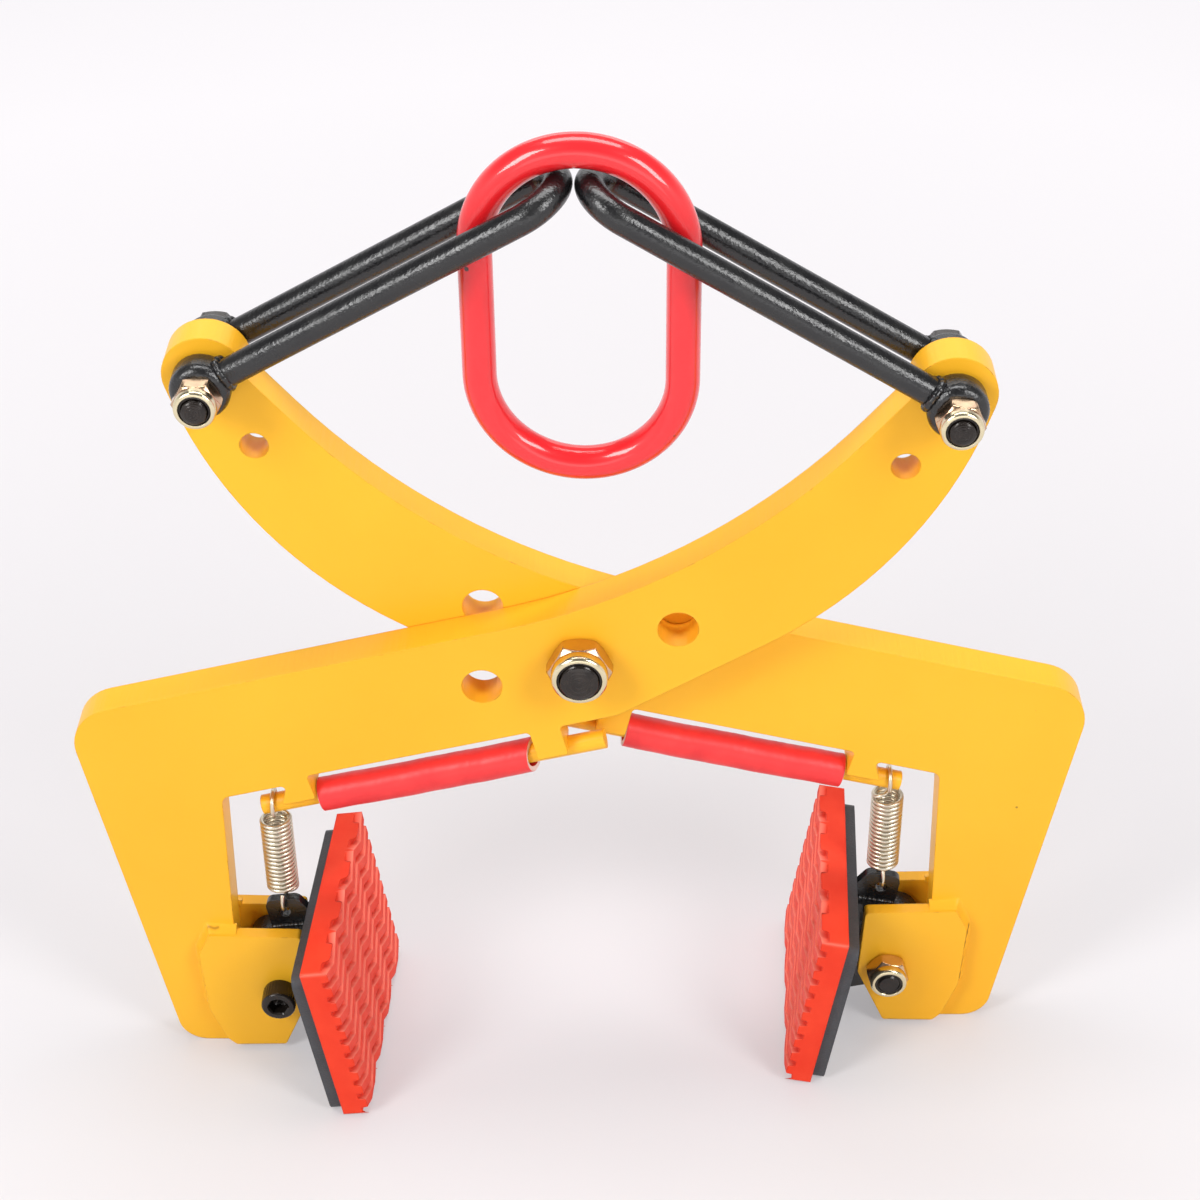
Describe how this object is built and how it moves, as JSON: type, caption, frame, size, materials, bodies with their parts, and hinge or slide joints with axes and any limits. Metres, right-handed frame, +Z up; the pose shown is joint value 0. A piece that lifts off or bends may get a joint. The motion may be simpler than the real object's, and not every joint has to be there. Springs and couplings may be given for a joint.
{
  "type": "lifting tongs",
  "caption": "Scissor lifting tongs: crossed flame-cut arms on a pivot bolt, sprung swivel grip pads, bumper hoses, and U-bent links hooked together by an oblong lifting ring.",
  "frame": {"origin": "on the floor, below the middle of the pivot", "axes": "+Z up, +X along the jaw from the left pad to the right pad, +Y to the back, along the pivot bolt"},
  "size_m": [0.431, 0.129, 0.4478],
  "materials": {
    "yellow_paint": "gloss yellow paint with small chips at the edges",
    "red_paint": "gloss red paint",
    "black_coat": "satin black powder coat",
    "red_hose": "smooth red rubber hose with pale cut ends",
    "red_rubber": "moulded orange-red rubber",
    "zinc": "yellow zinc plate",
    "spring_zinc": "pale zinc plate on drawn wire",
    "black_oxide": "black oxide"
  },
  "bodies": {
    "pivot": {"pivot_bolt": "black_oxide", "pivot_nut": "zinc"},
    "front_arm": {"front_arm": "yellow_paint", "left_cheek_outer": "yellow_paint", "left_cheek_inner": "yellow_paint", "left_bumper_rod": "yellow_paint", "left_bumper_hose": "red_hose", "left_pad_bolt": "black_oxide", "left_pad_nut": "zinc", "right_link_bolt": "black_oxide", "right_link_nut": "zinc"},
    "rear_arm": {"rear_arm": "yellow_paint", "right_cheek_outer": "yellow_paint", "right_cheek_inner": "yellow_paint", "right_bumper_rod": "yellow_paint", "right_bumper_hose": "red_hose", "right_pad_bolt": "black_oxide", "right_pad_nut": "zinc", "left_link_bolt": "black_oxide", "left_link_nut": "zinc"},
    "right_link": {"right_link": "black_coat", "right_link_eye_outer": "black_coat", "right_link_eye_inner": "black_coat"},
    "left_link": {"left_link": "black_coat", "left_link_eye_outer": "black_coat", "left_link_eye_inner": "black_coat"},
    "ring": {"lifting_ring": "red_paint"},
    "left_pad": {"left_pad_rubber": "red_rubber", "left_pad_backing": "black_coat", "left_pad_lug": "black_coat", "left_spring_tab": "black_coat"},
    "right_pad": {"right_pad_rubber": "red_rubber", "right_pad_backing": "black_coat", "right_pad_lug": "black_coat", "right_spring_tab": "black_coat"},
    "left_spring": {"left_spring": "spring_zinc"},
    "right_spring": {"right_spring": "spring_zinc"}
  },
  "joints": [
    {"name": "front_arm_pivot", "type": "hinge", "parent": "pivot", "child": "front_arm", "pos_m": [0, 0, 0.2193], "axis": [0, -1, 0], "range_deg": [-8, 12]},
    {"name": "rear_arm_pivot", "type": "hinge", "parent": "pivot", "child": "rear_arm", "pos_m": [0, 0, 0.2193], "axis": [0, 1, 0], "range_deg": [-8, 12]},
    {"name": "right_link_eye", "type": "hinge", "parent": "front_arm", "child": "right_link", "pos_m": [0.1453, -0.0082, 0.3453], "axis": [0, 1, 0], "range_deg": [-20.5, 30.7]},
    {"name": "left_link_eye", "type": "hinge", "parent": "rear_arm", "child": "left_link", "pos_m": [-0.1453, 0.0082, 0.3453], "axis": [0, -1, 0], "range_deg": [-20.5, 30.7]},
    {"name": "ring_lift", "type": "slide", "parent": "pivot", "child": "ring", "axis": [0, 0, 1], "range_m": [-0.0506, 0.0757]},
    {"name": "left_pad_swivel", "type": "hinge", "parent": "front_arm", "child": "left_pad", "pos_m": [-0.1385, -0.0082, 0.0361], "axis": [0, -1, 0], "range_deg": [-20, 0], "stiffness_Nm_per_rad": 1.2, "springref_deg": 5.16, "deforming": ["left_spring"]},
    {"name": "left_spring_swing", "type": "hinge", "parent": "front_arm", "child": "left_spring", "pos_m": [-0.13474, -0.0082, 0.1365], "axis": [0, -1, 0], "range_deg": [-0.2, 12]},
    {"name": "right_pad_swivel", "type": "hinge", "parent": "rear_arm", "child": "right_pad", "pos_m": [0.1385, 0.0082, 0.0361], "axis": [0, 1, 0], "range_deg": [-20, 0], "stiffness_Nm_per_rad": 1.2, "springref_deg": 5.16, "deforming": ["right_spring"]},
    {"name": "right_spring_swing", "type": "hinge", "parent": "rear_arm", "child": "right_spring", "pos_m": [0.13474, 0.0082, 0.1365], "axis": [0, 1, 0], "range_deg": [-0.2, 12]}
  ],
  "couplings": [
    {"joint": "rear_arm_pivot", "follows": "front_arm_pivot", "ratio": 1},
    {"joint": "right_link_eye", "follows": "front_arm_pivot", "ratio": 2.5416},
    {"joint": "left_link_eye", "follows": "front_arm_pivot", "ratio": 2.5416},
    {"joint": "ring_lift", "follows": "front_arm_pivot", "m_per_rad": 0.36006},
    {"joint": "left_spring_swing", "follows": "left_pad_swivel", "ratio": -0.59},
    {"joint": "right_spring_swing", "follows": "right_pad_swivel", "ratio": -0.59}
  ]
}
